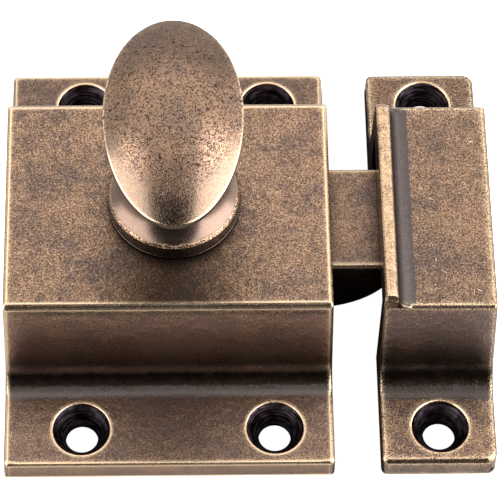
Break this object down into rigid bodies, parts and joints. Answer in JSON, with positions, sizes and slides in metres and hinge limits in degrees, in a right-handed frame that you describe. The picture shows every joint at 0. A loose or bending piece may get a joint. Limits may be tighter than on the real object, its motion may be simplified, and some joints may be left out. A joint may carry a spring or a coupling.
{
  "type": "cupboard turn latch",
  "caption": "Surface-mounted cupboard latch: cast case with an oval turn knob, a sprung quarter-round bolt and a separate raised-lip strike.",
  "frame": {"origin": "the knob spindle's axis where it meets the mounting surface (the case's back, z = 0)", "axes": "+Z out of the mounting surface along the knob's spindle, +X from the case towards the strike, +Y up the door"},
  "size_m": [0.0538, 0.0508, 0.0356],
  "materials": {
    "antique_bronze": "antiqued brown patina, worn bright at the edges",
    "dark_bronze": "dark antiqued patina, lightly worn",
    "plain_brass": "as cast, satin",
    "zinc_plated_steel": "zinc plated, satin",
    "spring_steel": "bright drawn wire"
  },
  "bodies": {
    "case_assembly": {"latch_case": "antique_bronze", "back_plate": "zinc_plated_steel", "back_plate_screw_1": "zinc_plated_steel", "back_plate_screw_2": "zinc_plated_steel", "back_plate_screw_3": "zinc_plated_steel", "back_plate_screw_4": "zinc_plated_steel", "spring_guide_pin": "zinc_plated_steel", "bolt_spring": "spring_steel", "knob_washer": "antique_bronze", "strike": "antique_bronze"},
    "knob_assembly": {"knob": "antique_bronze", "spindle": "zinc_plated_steel", "bolt_cam": "plain_brass", "cam_washer": "zinc_plated_steel", "cam_screw": "zinc_plated_steel"},
    "bolt_carriage": {"latch_bolt": "dark_bronze"}
  },
  "joints": [
    {"name": "knob_turn", "type": "hinge", "parent": "case_assembly", "child": "knob_assembly", "pos_m": [0, 0, 0], "axis": [0, 0, 1], "range_deg": [0, 75]},
    {"name": "bolt_slide", "type": "slide", "parent": "case_assembly", "child": "bolt_carriage", "axis": [-1, 0, 0], "range_m": [0, 0.00458], "stiffness_N_per_m": 800, "springref_m": -0.00625, "deforming": ["bolt_spring"]}
  ],
  "couplings": [
    {"joint": "knob_turn", "follows": "bolt_slide", "rad_per_m": 285.71}
  ]
}
